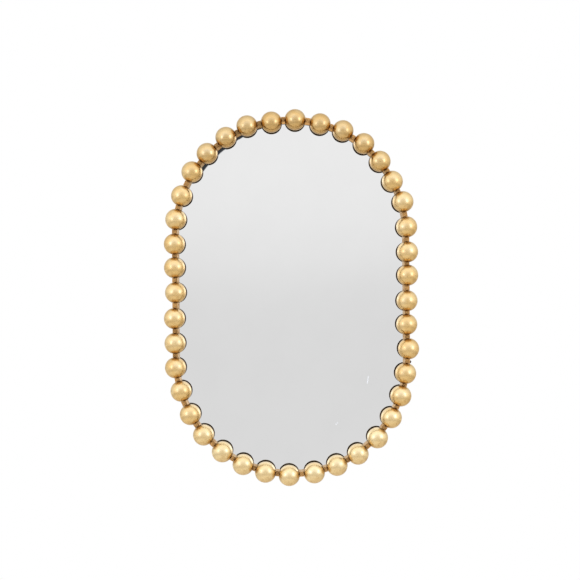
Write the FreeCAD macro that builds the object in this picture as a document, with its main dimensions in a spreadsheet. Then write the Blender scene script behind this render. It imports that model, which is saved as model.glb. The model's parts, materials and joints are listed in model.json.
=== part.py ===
import FreeCAD
import Part
import Sketcher
import math
import os

# Oval wall mirror in a ring of gilt balls. Front faces -Y, +Z is up, and the
# origin is the middle of the back panel's rear face.

# Driving dimensions in millimetres.
sizes = {
    # line through the ball centres: two half circles and two straight sides
    "ring_end_radius": 274.5,
    "ring_straight": 292,
    "first_ball_step": 12.4,
    # hollow spun balls with a flat seat and a tapped boss inside the back
    "ball_diameter": 50,
    "ball_gap": 7,
    "ball_wall": 1.2,
    "seat_diameter": 10,
    "boss_diameter": 13,
    "boss_height": 7,
    # studs that hold the balls on the rim
    "stud_diameter": 4,
    "stud_reach": 4,
    "thread_play": 0.05,
    # rim: flat front band with a bevelled inner edge, and a wall behind it
    "rim_margin": 7,
    "flange_width": 17,
    "flange_thickness": 5,
    "bevel_width": 5,
    "bevel_depth": 3.5,
    "rim_edge": 0.8,
    "wall_thickness": 9,
    "rebate_play": 1,
    # screw that closes the rim's joint
    "joint_head_diameter": 7,
    "joint_head_height": 3.5,
    "joint_shank_diameter": 3,
    "joint_shank_length": 7,
    # silvered glass and the board behind it
    "glass_thickness": 4,
    "glass_arris": 0.6,
    "panel_thickness": 9,
    "panel_chamfer": 1,
    # turn buttons that keep the board in
    "button_reach": 24,
    "button_width": 9,
    "button_thickness": 1.6,
    "button_edge": 0.5,
    "button_play": 0.15,
    "pivot_diameter": 3,
    "pivot_length": 9,
    "pivot_head_diameter": 6.4,
    "pivot_head_height": 2,
    # strap hangers with a loose wire ring each
    "strap_length": 44,
    "strap_width": 14,
    "strap_thickness": 1.5,
    "strap_corner": 5,
    "ring_wire": 4,
    "ring_play": 0.3,
    "ring_corner": 6,
    "ring_leg": 4,
    "hanger_inset": 30,
    "strap_screw_diameter": 3.5,
    "strap_screw_length": 8,
    "strap_head_diameter": 7,
    "strap_head_height": 2.2,
    # rubber bumpers that keep the back off the wall
    "bumper_diameter": 20,
    "bumper_height": 8,
    "bumper_taper": 2.5,
    "bumper_inset": 40,
    # how far a cutting tool runs past the surface it opens
    "overrun": 1,
}

# The balls were set by hand. Clockwise from the top: each gap to the next ball
# as a share of the mean gap, and how far each ball stands outside the line as
# a share of the ball's radius.
gap_shares = (
    1.35, 0.85, 1.00, 0.85, 0.75, 0.55, 1.30, 1.15, 0.65, 1.35,
    0.75, 1.00, 1.10, 0.65, 0.85, 1.00, 1.25, 0.85, 0.85, 1.25,
    0.85, 0.75, 1.00, 1.25, 1.00, 1.30, 0.90, 1.00, 1.10, 1.45,
    1.15, 0.75, 1.10, 1.00, 1.45, 0.80, 1.05, 0.80, 1.05, 0.90,
)
stray_shares = (
    -0.08, -0.12, 0.04, 0.08, -0.04, -0.12, 0.08, 0.00, 0.04, 0.04,
    -0.04, -0.08, 0.08, -0.12, -0.08, -0.04, 0.04, 0.00, -0.04, 0.00,
    0.04, 0.00, 0.00, -0.04, 0.00, -0.08, -0.12, 0.00, 0.00, 0.04,
    -0.08, 0.00, 0.00, -0.04, -0.04, 0.08, 0.04, 0.08, 0.12, -0.16,
)
# Places round the ring, as shares of the row of balls: the turn buttons sit
# behind balls, and the rim's joint lies in the gap after a ball, at a share of
# the way to the next one.
button_row_shares = (0.09, 0.25, 0.41, 0.59, 0.75, 0.91)
joint_row_share = 0.31
joint_gap_share = 0.54
# Hanger height as a share of the straight side, bumper angles as shares of a turn.
hanger_height_share = 0.5
bumper_turn_shares = (0.11, 0.39, 0.61, 0.89)
strap_screw_shares = (0.36, 0.78)

doc = FreeCAD.newDocument("oval_mirror")
sheet = doc.addObject("Spreadsheet::Sheet", "dims")
for row, (alias, size) in enumerate(sizes.items(), start=1):
    sheet.set(f"A{row}", alias)
    sheet.set(f"B{row}", str(size))
    sheet.setAlias(f"B{row}", alias)
doc.recompute()

Vector = FreeCAD.Vector
upright = FreeCAD.Rotation()
tolerance = 1e-6
nodes = []

# Sizes that follow from the driving dimensions, as expressions.
ball_radius = "dims.ball_diameter / 2"
seat_radius = "dims.seat_diameter / 2"
seat_depth = "sqrt((dims.ball_diameter / 2) ^ 2 - (dims.seat_diameter / 2) ^ 2)"
half_straight = "dims.ring_straight / 2"
rim_radius = "dims.ring_end_radius + dims.rim_margin"
window_radius = f"{rim_radius} - dims.flange_width"
rebate_radius = f"{rim_radius} - dims.wall_thickness"
pane_radius = f"{rebate_radius} - dims.rebate_play"
wall_depth = "dims.panel_thickness + dims.glass_thickness"
rim_depth = f"{wall_depth} + dims.flange_thickness"
eye_bore = "dims.ring_wire / 2 + dims.ring_play"
eye_radius = f"{eye_bore} + dims.strap_thickness"
ring_half_width = "dims.strap_width / 2 + dims.ring_corner"


def value(expression):
    return float(sheet.evalExpression(expression))


def keep(piece, label):
    piece.Label = label
    nodes.append(piece)
    return piece


def new_sketch(body, name, role, height="0"):
    sketch = body.newObject("Sketcher::SketchObject", name)
    plane = next(item for item in body.Origin.OriginFeatures if item.Role == role)
    sketch.AttachmentSupport = [(plane, "")]
    sketch.MapMode = "FlatFace"
    sketch.setExpression("AttachmentOffset.Base.z", height)
    return sketch


def bind(sketch, expression, kind, *ends):
    index = sketch.addConstraint(Sketcher.Constraint(kind, *ends, value(expression)))
    sketch.setExpression(f"Constraints[{index}]", expression)


def place_along(sketch, element, point, kind, distance):
    # Fixes a point of a sketch element along X or Y, measured from the origin.
    axis = {"DistanceX": -2, "DistanceY": -1}[kind]
    if value(distance) == 0:
        sketch.addConstraint(Sketcher.Constraint("PointOnObject", element, point, axis))
    elif value(distance) > 0:
        bind(sketch, distance, kind, -1, 1, element, point)
    else:
        bind(sketch, f"-({distance})", kind, element, point, -1, 1)


def place(sketch, element, point, x, y):
    place_along(sketch, element, point, "DistanceX", x)
    place_along(sketch, element, point, "DistanceY", y)


def circle(sketch, radius, x="0", y="0"):
    centre = Vector(value(x), value(y))
    index = sketch.addGeometry(Part.Circle(centre, Vector(0, 0, 1), value(radius)))
    bind(sketch, radius, "Radius", index)
    place(sketch, index, 3, x, y)


def stadium(sketch, radius, half_length):
    r = value(radius)
    half = value(half_length)
    axis = Vector(0, 0, 1)
    first = sketch.GeometryCount
    right, bottom, left, top = range(first, first + 4)
    sketch.addGeometry([
        Part.LineSegment(Vector(r, half), Vector(r, -half)),
        Part.ArcOfCircle(Part.Circle(Vector(0, -half), axis, r), math.pi, 2 * math.pi),
        Part.LineSegment(Vector(-r, -half), Vector(-r, half)),
        Part.ArcOfCircle(Part.Circle(Vector(0, half), axis, r), 0, math.pi),
    ])
    for pair in ((right, 2, bottom, 2), (bottom, 1, left, 1), (left, 2, top, 2), (top, 1, right, 1)):
        sketch.addConstraint(Sketcher.Constraint("Tangent", *pair))
    sketch.addConstraint(Sketcher.Constraint("PointOnObject", top, 3, -2))
    sketch.addConstraint(Sketcher.Constraint("PointOnObject", bottom, 3, -2))
    bind(sketch, radius, "Radius", top)
    bind(sketch, radius, "Radius", bottom)
    bind(sketch, half_length, "DistanceY", -1, 1, top, 3)
    bind(sketch, half_length, "DistanceY", bottom, 3, -1, 1)


def outline(sketch, corners, arcs=None):
    # A closed outline. Corners are pairs of expressions; arcs gives, by the number
    # of a side, the centre of a round side and whether it turns clockwise.
    arcs = arcs or {}
    points = [Vector(value(x), value(y)) for x, y in corners]
    first = sketch.GeometryCount
    count = len(points)
    heads = []
    for side, begin in enumerate(points):
        finish = points[(side + 1) % count]
        if side not in arcs:
            sketch.addGeometry(Part.LineSegment(begin, finish))
            heads.append((1, 2))
            continue
        x, y, clockwise = arcs[side]
        centre = Vector(value(x), value(y))
        heads.append((2, 1) if clockwise else (1, 2))
        if clockwise:
            begin, finish = finish, begin
        ring = Part.Circle(centre, Vector(0, 0, 1), (begin - centre).Length)
        sketch.addGeometry(Part.ArcOfCircle(ring, ring.parameter(begin), ring.parameter(finish)))
        # the ends leave the centre free along one line only, so one distance fixes it
        chord = finish - begin
        kind, distance = ("DistanceX", x) if abs(chord.y) > abs(chord.x) else ("DistanceY", y)
        place_along(sketch, first + side, 3, kind, distance)
    for side, (x, y) in enumerate(corners):
        before = (side - 1) % count
        meeting = (first + before, heads[before][1], first + side, heads[side][0])
        sketch.addConstraint(Sketcher.Constraint("Coincident", *meeting))
        place(sketch, first + side, heads[side][0], x, y)


def pad(body, sketch, name, length, backwards=False):
    feature = body.newObject("PartDesign::Pad", name)
    feature.Profile = sketch
    feature.setExpression("Length", length)
    feature.Reversed = backwards
    return feature


def revolve(body, sketch, name):
    feature = body.newObject("PartDesign::Revolution", name)
    feature.Profile = sketch
    feature.ReferenceAxis = (sketch, ["V_Axis"])
    feature.Angle = 360
    return feature


def edges_where(feature, test):
    # Names of a feature's edges whose middle passes the test.
    doc.recompute()
    names = []
    for number, edge in enumerate(feature.Shape.Edges, start=1):
        if test(edge.valueAt((edge.FirstParameter + edge.LastParameter) / 2)):
            names.append(f"Edge{number}")
    return names


def oval_edges(feature, depth, radius):
    # Edges of an oval at one depth behind the front and one distance from its core.
    half = value(half_straight)

    def test(middle):
        core = Vector(0, middle.y, max(-half, min(half, middle.z)))
        reach = (middle - core).Length
        return abs(middle.y + value(depth)) < tolerance and abs(reach - value(radius)) < tolerance

    return edges_where(feature, test)


def chamfer(body, base, name, edges, size, second=None):
    feature = body.newObject("PartDesign::Chamfer", name)
    feature.Base = (base, edges)
    feature.setExpression("Size", size)
    if second:
        feature.ChamferType = "Two distances"
        feature.setExpression("Size2", second)
    return feature


def fillet(body, base, name, edges, radius):
    feature = body.newObject("PartDesign::Fillet", name)
    feature.Base = (base, edges)
    feature.setExpression("Radius", radius)
    return feature


def rod(name, radius, height, base, direction):
    piece = doc.addObject("Part::Cylinder", name)
    piece.setExpression("Radius", radius)
    piece.setExpression("Height", height)
    piece.Placement = FreeCAD.Placement(base, FreeCAD.Rotation(Vector(0, 0, 1), direction))
    return piece


def copy_of(body, name, placement):
    copy = doc.addObject("PartDesign::Body", name)
    base = copy.newObject("PartDesign::FeatureBase", f"{name}_base")
    base.BaseFeature = body
    copy.Tip = base
    copy.Placement = placement
    return copy


def group(name, pieces):
    bundle = doc.addObject("Part::Compound", name)
    bundle.Links = pieces
    return bundle


def drilled(name, blank, holes):
    part = doc.addObject("Part::Cut", name)
    part.Base = blank
    part.Tool = group(f"{name}_holes", holes)
    return part


def ring_place(travel):
    # A point on the ball line and its outward direction, clockwise from the top.
    r = value("dims.ring_end_radius")
    straight = value("dims.ring_straight")
    quarter = r * math.pi / 2
    half = straight / 2
    travel %= 4 * quarter + 2 * straight
    if quarter <= travel < quarter + straight:
        return Vector(r, 0, half - (travel - quarter)), Vector(1, 0, 0)
    if 3 * quarter + straight <= travel < 3 * quarter + 2 * straight:
        return Vector(-r, 0, travel - 3 * quarter - straight - half), Vector(-1, 0, 0)
    if travel < quarter:
        turn = travel / r
        centre = half
    elif travel < 3 * quarter + straight:
        turn = (travel - straight) / r
        centre = -half
    else:
        turn = (travel - 2 * straight) / r
        centre = half
    outward = Vector(math.sin(turn), 0, math.cos(turn))
    return Vector(0, 0, centre) + outward * r, outward


def ball_row():
    # Distances of the balls along the line, worked out from the uneven gaps.
    diameter = value("dims.ball_diameter")
    perimeter = 2 * math.pi * value("dims.ring_end_radius") + 2 * value("dims.ring_straight")
    count = int(perimeter // (diameter + value("dims.ball_gap")))
    shares = [gap_shares[i % len(gap_shares)] for i in range(count)]
    spare = (perimeter - count * diameter) / sum(shares)
    travel = value("dims.first_ball_step")
    row = []
    for share in shares:
        row.append(travel)
        travel += diameter + spare * share
    return row


ball_travel = ball_row()
rim_front = -value(rim_depth)
front = Vector(0, -1, 0)
back = Vector(0, 1, 0)


def ball_seat(number):
    # Where a ball sits on the front of the rim.
    point, outward = ring_place(ball_travel[number])
    stray = stray_shares[number % len(stray_shares)] * value(ball_radius)
    return point + outward * stray + Vector(0, rim_front, 0)


def row_number(share):
    return int(share * len(ball_travel))


def screw(name, head_diameter, head_height, shank_diameter, shank_length):
    # A dome-headed screw standing on its head's underside, shank along -Y.
    body = doc.addObject("PartDesign::Body", name)
    sketch = new_sketch(body, f"{name}_profile", "XY_Plane")
    head_radius = f"{head_diameter} / 2"
    shank_radius = f"{shank_diameter} / 2"
    dome_radius = f"(({head_radius}) ^ 2 + ({head_height}) ^ 2) / (2 * {head_height})"
    outline(sketch, [
        ("0", head_height),
        (head_radius, "0"),
        (shank_radius, "0"),
        (shank_radius, f"-({shank_length})"),
        ("0", f"-({shank_length})"),
    ], {0: ("0", f"{head_height} - {dome_radius}", True)})
    revolve(body, sketch, f"{name}_turned")
    return body


def make_ball():
    body = doc.addObject("PartDesign::Body", "ball_pattern")
    sketch = new_sketch(body, "ball_profile", "XY_Plane")
    inner_radius = f"{ball_radius} - dims.ball_wall"
    boss_radius = "dims.boss_diameter / 2"
    bore = "dims.stud_diameter / 2 + dims.thread_play"
    boss_top = f"{seat_depth} - dims.boss_height"
    boss_foot = f"sqrt(({inner_radius}) ^ 2 - ({boss_radius}) ^ 2)"
    outline(sketch, [
        (bore, seat_depth),
        (seat_radius, seat_depth),
        ("0", f"-({ball_radius})"),
        ("0", f"-({inner_radius})"),
        (boss_radius, boss_foot),
        (boss_radius, boss_top),
        (bore, boss_top),
    ], {1: ("0", "0", True), 3: ("0", "0", False)})
    revolve(body, sketch, "ball_spun")
    return body


def make_rim():
    body = doc.addObject("PartDesign::Body", "rim_blank")
    wall = new_sketch(body, "rim_wall_outline", "XZ_Plane")
    stadium(wall, rim_radius, half_straight)
    stadium(wall, rebate_radius, half_straight)
    pad(body, wall, "rim_wall", wall_depth)
    band = new_sketch(body, "rim_band_outline", "XZ_Plane", wall_depth)
    stadium(band, rim_radius, half_straight)
    stadium(band, window_radius, half_straight)
    front_band = pad(body, band, "rim_band", "dims.flange_thickness")
    inner_edge = oval_edges(front_band, rim_depth, window_radius)
    bevel = chamfer(body, front_band, "rim_bevel", inner_edge, "dims.bevel_depth", "dims.bevel_width")
    outer_edge = oval_edges(bevel, rim_depth, rim_radius)
    chamfer(body, bevel, "rim_outer_edge", outer_edge, "dims.rim_edge")
    return body


def stud_rods(name, reach, play):
    # One rod per ball, standing in the rim and reaching into the ball.
    rods = []
    for number in range(len(ball_travel)):
        foot = ball_seat(number) + back * value("dims.stud_reach")
        radius = f"dims.stud_diameter / 2 + {play}"
        rods.append(rod(f"{name}_{number + 1}", radius, reach, foot, front))
    return rods


def joint_place():
    # The rim's joint, on its outer side, between two balls.
    number = row_number(joint_row_share)
    step = ball_travel[number + 1] - ball_travel[number]
    point, outward = ring_place(ball_travel[number] + step * joint_gap_share)
    return point + outward * value("dims.rim_margin") + front * (value(wall_depth) / 2), outward


def button_places():
    # Pivots in the middle of the rim's rear edge, with the direction to the glass.
    places = []
    for share in button_row_shares:
        point, outward = ring_place(ball_travel[row_number(share)])
        middle = value("dims.rim_margin - dims.wall_thickness / 2")
        places.append((point + outward * middle, outward * -1))
    return places


def turned(direction):
    # Rotation about Y that takes +Z to a direction in the plane of the mirror.
    return FreeCAD.Rotation(Vector(0, 1, 0), math.degrees(math.atan2(direction.x, direction.z)))


def drill_rim(blank):
    holes = stud_rods("stud_hole", "dims.stud_reach + dims.overrun", "dims.thread_play")
    pivot_grip = "dims.pivot_length - dims.button_thickness - 2 * dims.button_play"
    for number, (point, inward) in enumerate(button_places(), start=1):
        mouth = point + back * value("dims.overrun")
        radius = "dims.pivot_diameter / 2 + dims.thread_play"
        holes.append(rod(f"pivot_hole_{number}", radius, f"{pivot_grip} + dims.overrun", mouth, front))
    point, outward = joint_place()
    mouth = point + outward * value("dims.overrun")
    radius = "dims.joint_shank_diameter / 2 + dims.thread_play"
    depth = "dims.joint_shank_length + dims.overrun"
    holes.append(rod("joint_hole", radius, depth, mouth, outward * -1))
    return drilled("rim", blank, holes)


def make_pane(name, thickness, depth):
    body = doc.addObject("PartDesign::Body", name)
    sketch = new_sketch(body, f"{name}_outline", "XZ_Plane", depth)
    stadium(sketch, pane_radius, half_straight)
    return body, pad(body, sketch, f"{name}_plate", thickness)


def make_glass():
    body, plate = make_pane("mirror_glass", "dims.glass_thickness", "dims.panel_thickness")
    edges = oval_edges(plate, wall_depth, pane_radius)
    edges += oval_edges(plate, "dims.panel_thickness", pane_radius)
    chamfer(body, plate, "glass_arris", edges, "dims.glass_arris")
    return body


def hanger_places():
    # Eyes of the two strap hangers, the left one first, each with its turn about Y.
    reach = value(f"{pane_radius} - dims.hanger_inset - dims.strap_length")
    height = value("dims.ring_straight") * hanger_height_share
    flipped = FreeCAD.Rotation(Vector(0, 1, 0), 180)
    return (Vector(-reach, 0, height), upright), (Vector(reach, 0, height), flipped)


def strap_screw_places():
    places = []
    for eye, turn in hanger_places():
        for share in strap_screw_shares:
            places.append(eye + turn.multVec(Vector(-share * value("dims.strap_length"), 0, 0)))
    return places


def make_panel():
    body, plate = make_pane("panel_blank", "dims.panel_thickness", "0")
    edges = oval_edges(plate, "0", pane_radius)
    chamfer(body, plate, "panel_chamfer", edges, "dims.panel_chamfer")
    radius = "dims.strap_screw_diameter / 2 + dims.thread_play"
    depth = "dims.strap_screw_length - dims.strap_thickness + dims.overrun"
    holes = []
    for number, point in enumerate(strap_screw_places(), start=1):
        mouth = point + back * value("dims.overrun")
        holes.append(rod(f"strap_pilot_{number}", radius, depth, mouth, front))
    return drilled("back_panel", body, holes)


def make_button():
    body = doc.addObject("PartDesign::Body", "button_pattern")
    sketch = new_sketch(body, "button_outline", "XZ_Plane")
    half_width = "dims.button_width / 2"
    tip = "dims.button_reach - dims.button_width / 2"
    outline(sketch, [
        (f"-({half_width})", "0"),
        (f"-({half_width})", tip),
        (half_width, tip),
        (half_width, "0"),
    ], {1: ("0", tip, True), 3: ("0", "0", True)})
    hole = "dims.pivot_diameter / 2 + dims.button_play"
    circle(sketch, hole)
    plate = pad(body, sketch, "button_plate", "dims.button_thickness", backwards=True)

    def on_rear_rim(point):
        outside_hole = math.hypot(point.x, point.z) > value(hole) + tolerance
        return abs(point.y - value("dims.button_thickness")) < tolerance and outside_hole

    fillet(body, plate, "button_rounding", edges_where(plate, on_rear_rim), "dims.button_edge")
    return body


def make_strap():
    body = doc.addObject("PartDesign::Body", "strap_pattern")
    sketch = new_sketch(body, "strap_section", "XY_Plane", "-dims.strap_width / 2")
    eye_foot = f"sqrt(({eye_radius}) ^ 2 - ({eye_bore}) ^ 2)"
    outline(sketch, [
        ("-dims.strap_length", "0"),
        ("0", "0"),
        (f"-({eye_foot})", "dims.strap_thickness"),
        ("-dims.strap_length", "dims.strap_thickness"),
    ], {1: ("0", eye_radius, False)})
    circle(sketch, eye_bore, "0", eye_radius)
    plate = pad(body, sketch, "strap_plate", "dims.strap_width")
    middle = value("dims.strap_thickness / 2")
    end = -value("dims.strap_length")

    def at_end_corner(point):
        return abs(point.x - end) < tolerance and abs(point.y - middle) < tolerance and point.z != 0

    corners = edges_where(plate, at_end_corner)
    fillet(body, plate, "strap_end", corners, "dims.strap_corner")
    return body


def drill_strap(name, strap):
    # Clearance holes for the two screws of one strap.
    radius = "dims.strap_screw_diameter / 2 + dims.button_play"
    holes = []
    for number, share in enumerate(strap_screw_shares, start=1):
        foot = Vector(-share * value("dims.strap_length"), -value("dims.overrun"), 0)
        depth = "dims.strap_thickness + 2 * dims.overrun"
        holes.append(rod(f"{name}_{number}", radius, depth, foot, back))
    return drilled(f"{name}_drilled", strap, holes)


def make_ring():
    body = doc.addObject("PartDesign::Body", "ring_pattern")
    path = new_sketch(body, "ring_path", "XZ_Plane")
    bar = "dims.strap_width / 2"
    corner = "dims.ring_corner"
    leg = "dims.ring_corner + dims.ring_leg"
    outline(path, [
        ("0", "0"),
        ("0", bar),
        (corner, ring_half_width),
        (leg, ring_half_width),
        (leg, f"-({ring_half_width})"),
        (corner, f"-({ring_half_width})"),
        ("0", f"-({bar})"),
    ], {1: (corner, bar, True), 3: (leg, "0", True), 5: (corner, f"-({bar})", True)})
    section = new_sketch(body, "ring_section", "XY_Plane")
    circle(section, "dims.ring_wire / 2")
    doc.recompute()
    wire = body.newObject("PartDesign::AdditivePipe", "ring_wire")
    wire.Profile = section
    wire.Spine = (path, [f"Edge{number + 1}" for number in range(len(path.Shape.Edges))])
    return body


def make_bumper():
    body = doc.addObject("PartDesign::Body", "bumper_pattern")
    sketch = new_sketch(body, "bumper_profile", "XY_Plane")
    foot = "dims.bumper_diameter / 2"
    outline(sketch, [
        ("0", "0"),
        (foot, "0"),
        (f"{foot} - dims.bumper_taper", "dims.bumper_height"),
        ("0", "dims.bumper_height"),
    ])
    revolve(body, sketch, "bumper_moulded")
    return body


def bumper_places():
    places = []
    reach = value(f"{pane_radius} - dims.bumper_inset")
    for share in bumper_turn_shares:
        turn = 2 * math.pi * share
        outward = Vector(math.sin(turn), 0, math.cos(turn))
        centre = math.copysign(value(half_straight), outward.z)
        places.append(Vector(0, 0, centre) + outward * reach)
    return places


# Balls and what carries them.
ball = make_ball()
for number in range(len(ball_travel)):
    centre = ball_seat(number) + front * value(seat_depth)
    name = f"ball_{number + 1:02d}"
    keep(copy_of(ball, name, FreeCAD.Placement(centre, upright)), name)
studs = stud_rods("stud", "dims.stud_reach + dims.boss_height", "0")
keep(group("ball_studs", studs), "ball_studs")
keep(drill_rim(make_rim()), "rim")

# The screw at the rim's joint, with its head on the outside.
point, outward = joint_place()
joint_screw = screw("rim_joint_screw", "dims.joint_head_diameter", "dims.joint_head_height",
                    "dims.joint_shank_diameter", "dims.joint_shank_length")
joint_screw.Placement = FreeCAD.Placement(point, FreeCAD.Rotation(back, outward))
keep(joint_screw, "rim_joint_screw")

keep(make_glass(), "mirror_glass")
keep(make_panel(), "back_panel")

# Turn buttons on the rim's rear edge, lying over the edge of the panel.
button = make_button()
pivot = screw("pivot_pattern", "dims.pivot_head_diameter", "dims.pivot_head_height",
              "dims.pivot_diameter", "dims.pivot_length")
lift = value("dims.button_play")
head_lift = value("dims.button_thickness + 2 * dims.button_play")
pivots = []
for number, (point, inward) in enumerate(button_places(), start=1):
    name = f"turn_button_{number}"
    keep(copy_of(button, name, FreeCAD.Placement(point + back * lift, turned(inward))), name)
    seat = FreeCAD.Placement(point + back * head_lift, upright)
    pivots.append(copy_of(pivot, f"pivot_{number}", seat))
keep(group("button_screws", pivots), "button_screws")

# Strap hangers and their rings.
strap = drill_strap("strap_hole", make_strap())
ring = make_ring()
eye_height = back * value(eye_radius)
for side, (eye, turn) in zip(("left", "right"), hanger_places()):
    name = f"hanger_strap_{side}"
    keep(copy_of(strap, name, FreeCAD.Placement(eye, turn)), name)
    name = f"hanger_ring_{side}"
    keep(copy_of(ring, name, FreeCAD.Placement(eye + eye_height, turn)), name)
strap_screw = screw("strap_screw_pattern", "dims.strap_head_diameter", "dims.strap_head_height",
                    "dims.strap_screw_diameter", "dims.strap_screw_length")
strap_screws = []
for number, point in enumerate(strap_screw_places(), start=1):
    seat = FreeCAD.Placement(point + back * value("dims.strap_thickness"), upright)
    strap_screws.append(copy_of(strap_screw, f"strap_screw_{number}", seat))
keep(group("hanger_screws", strap_screws), "hanger_screws")

bumper = make_bumper()
bumpers = []
for number, point in enumerate(bumper_places(), start=1):
    bumpers.append(copy_of(bumper, f"bumper_{number}", FreeCAD.Placement(point, upright)))
keep(group("wall_bumpers", bumpers), "wall_bumpers")

doc.recompute()
for item in doc.Objects:
    if "Invalid" in item.State or "Error" in item.State:
        raise RuntimeError(f"{item.Label} failed: {item.State}")
for piece in nodes:
    if piece.Shape.isNull() or not piece.Shape.isValid():
        raise RuntimeError(f"{piece.Label} has no valid shape")

os.makedirs("parts", exist_ok=True)
for piece in nodes:
    piece.Shape.exportStep(f"parts/{piece.Label}.step")
    print(piece.Label, len(piece.Shape.Solids), "solids", round(piece.Shape.Volume), "mm3")
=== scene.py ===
import json
import math
import bpy
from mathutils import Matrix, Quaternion, Vector


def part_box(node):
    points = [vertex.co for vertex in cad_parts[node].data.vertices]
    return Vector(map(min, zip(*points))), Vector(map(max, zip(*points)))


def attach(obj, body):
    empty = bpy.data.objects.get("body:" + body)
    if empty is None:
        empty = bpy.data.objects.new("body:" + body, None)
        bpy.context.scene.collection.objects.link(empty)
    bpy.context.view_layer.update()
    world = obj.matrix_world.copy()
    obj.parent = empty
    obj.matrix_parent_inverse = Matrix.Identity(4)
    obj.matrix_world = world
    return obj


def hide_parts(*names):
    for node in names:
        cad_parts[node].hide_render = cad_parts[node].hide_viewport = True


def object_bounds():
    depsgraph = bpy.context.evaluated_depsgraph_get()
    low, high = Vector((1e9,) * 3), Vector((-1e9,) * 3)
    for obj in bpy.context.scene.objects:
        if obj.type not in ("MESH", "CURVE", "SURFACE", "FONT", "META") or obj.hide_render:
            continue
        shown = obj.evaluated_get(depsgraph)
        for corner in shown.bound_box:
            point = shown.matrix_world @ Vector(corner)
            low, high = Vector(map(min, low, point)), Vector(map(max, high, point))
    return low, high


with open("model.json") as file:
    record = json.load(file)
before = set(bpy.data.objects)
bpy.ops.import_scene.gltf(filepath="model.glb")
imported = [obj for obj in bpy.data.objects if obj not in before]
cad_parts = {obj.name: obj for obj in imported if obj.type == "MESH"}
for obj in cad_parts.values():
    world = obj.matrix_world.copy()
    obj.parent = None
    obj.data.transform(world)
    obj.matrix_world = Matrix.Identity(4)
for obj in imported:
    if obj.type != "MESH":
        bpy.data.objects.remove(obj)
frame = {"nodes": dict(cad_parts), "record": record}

# Oval wall mirror in a ring of gilt balls, dressed for the camera. Metres, front faces -Y, +Z is up.
cadNodes = frame["nodes"]
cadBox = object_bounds()
print("frame loaded:", len(cadNodes), "nodes")

# the oval that rim and glass share: two half circles round the ends of an upright core line
rimLow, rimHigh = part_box("rim")
ovalRadius = rimHigh.x
ovalHalfCore = rimHigh.z - rimHigh.x
ballLow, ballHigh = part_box("ball_01")
ballRadius = (ballHigh.x - ballLow.x) / 2
ballPlane = ballLow.y + ballRadius  # depth of the ball centres


# node helpers


def feed(tree, socket, given):
    if isinstance(given, bpy.types.NodeSocket):
        tree.links.new(given, socket)
    else:
        socket.default_value = given


def calc(tree, operation, *terms, clamp=False):
    made = tree.nodes.new("ShaderNodeMath")
    made.operation = operation
    made.use_clamp = clamp
    for socket, term in zip(made.inputs, terms):
        feed(tree, socket, term)
    return made.outputs[0]


def vectorCalc(tree, operation, *terms):
    made = tree.nodes.new("ShaderNodeVectorMath")
    made.operation = operation
    for socket, term in zip(made.inputs, terms):
        feed(tree, socket, term)
    return made


def step(tree, given, low, high, start=0.0, finish=1.0):  # smooth step, low may lie above high
    made = tree.nodes.new("ShaderNodeMapRange")
    made.interpolation_type = "SMOOTHSTEP"
    for title, number in (("From Min", low), ("From Max", high), ("To Min", start), ("To Max", finish)):
        feed(tree, made.inputs[title], number)
    feed(tree, made.inputs["Value"], given)
    return made.outputs["Result"]


def tint(tree, share, first, second):  # mixes two colours
    made = tree.nodes.new("ShaderNodeMix")
    made.data_type = "RGBA"
    feed(tree, made.inputs[0], share)
    for socket, colour in ((made.inputs[6], first), (made.inputs[7], second)):
        feed(tree, socket, (*colour, 1.0) if isinstance(colour, tuple) else colour)
    return made.outputs[2]


def noise(tree, place, scale, detail=3.0, rough=0.55, drift=0.0):
    made = tree.nodes.new("ShaderNodeTexNoise")
    for title, given in (("Vector", place), ("Scale", scale), ("Detail", detail),
                         ("Roughness", rough), ("Distortion", drift)):
        feed(tree, made.inputs[title], given)
    return made.outputs[0]


def objectPlace(tree):
    return tree.nodes.new("ShaderNodeTexCoord").outputs["Object"]


def splitUp(tree, vector):
    made = tree.nodes.new("ShaderNodeSeparateXYZ")
    feed(tree, made.inputs[0], vector)
    return made.outputs


def startGroup(title, inputs, outputs):
    tree = bpy.data.node_groups.new(title, "ShaderNodeTree")
    for name, number in inputs.items():
        socket = tree.interface.new_socket(name, in_out="INPUT", socket_type="NodeSocketFloat")
        socket.default_value = number
    for name in outputs:
        tree.interface.new_socket(name, in_out="OUTPUT", socket_type="NodeSocketFloat")
    return tree, tree.nodes.new("NodeGroupInput").outputs, tree.nodes.new("NodeGroupOutput").inputs


def useGroup(tree, group, **values):
    made = tree.nodes.new("ShaderNodeGroup")
    made.node_tree = group
    for name, given in values.items():
        feed(tree, made.inputs[name], given)
    return made.outputs


# shared effects


def makeMottleGroup():  # cloudy patches, as in worn gilding or tarnish
    tree, given, out = startGroup("mottle", {"scale": 100.0, "low": 0.4, "high": 0.6, "drift": 0.0}, ["mask"])
    cloud = noise(tree, objectPlace(tree), given["scale"], detail=4.0, rough=0.6, drift=given["drift"])
    feed(tree, out["mask"], step(tree, cloud, given["low"], given["high"]))
    return tree


def makeSpeckGroup():  # scattered small round pits
    tree, given, out = startGroup("specks", {"scale": 200.0, "size": 0.2, "share": 0.1}, ["mask"])
    cells = tree.nodes.new("ShaderNodeTexVoronoi")
    feed(tree, cells.inputs["Vector"], objectPlace(tree))
    feed(tree, cells.inputs["Scale"], given["scale"])
    pick = splitUp(tree, cells.outputs["Color"])
    smallest, core = 0.3, 0.5  # shares of the size: the least pit, and the part of a pit that is fully dark
    spread = calc(tree, "MULTIPLY", given["size"], calc(tree, "ADD", pick[1], smallest))
    dot = step(tree, cells.outputs["Distance"], spread, calc(tree, "MULTIPLY", spread, core))
    chosen = calc(tree, "LESS_THAN", pick[0], given["share"])
    feed(tree, out["mask"], calc(tree, "MULTIPLY", dot, chosen))
    return tree


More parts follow.
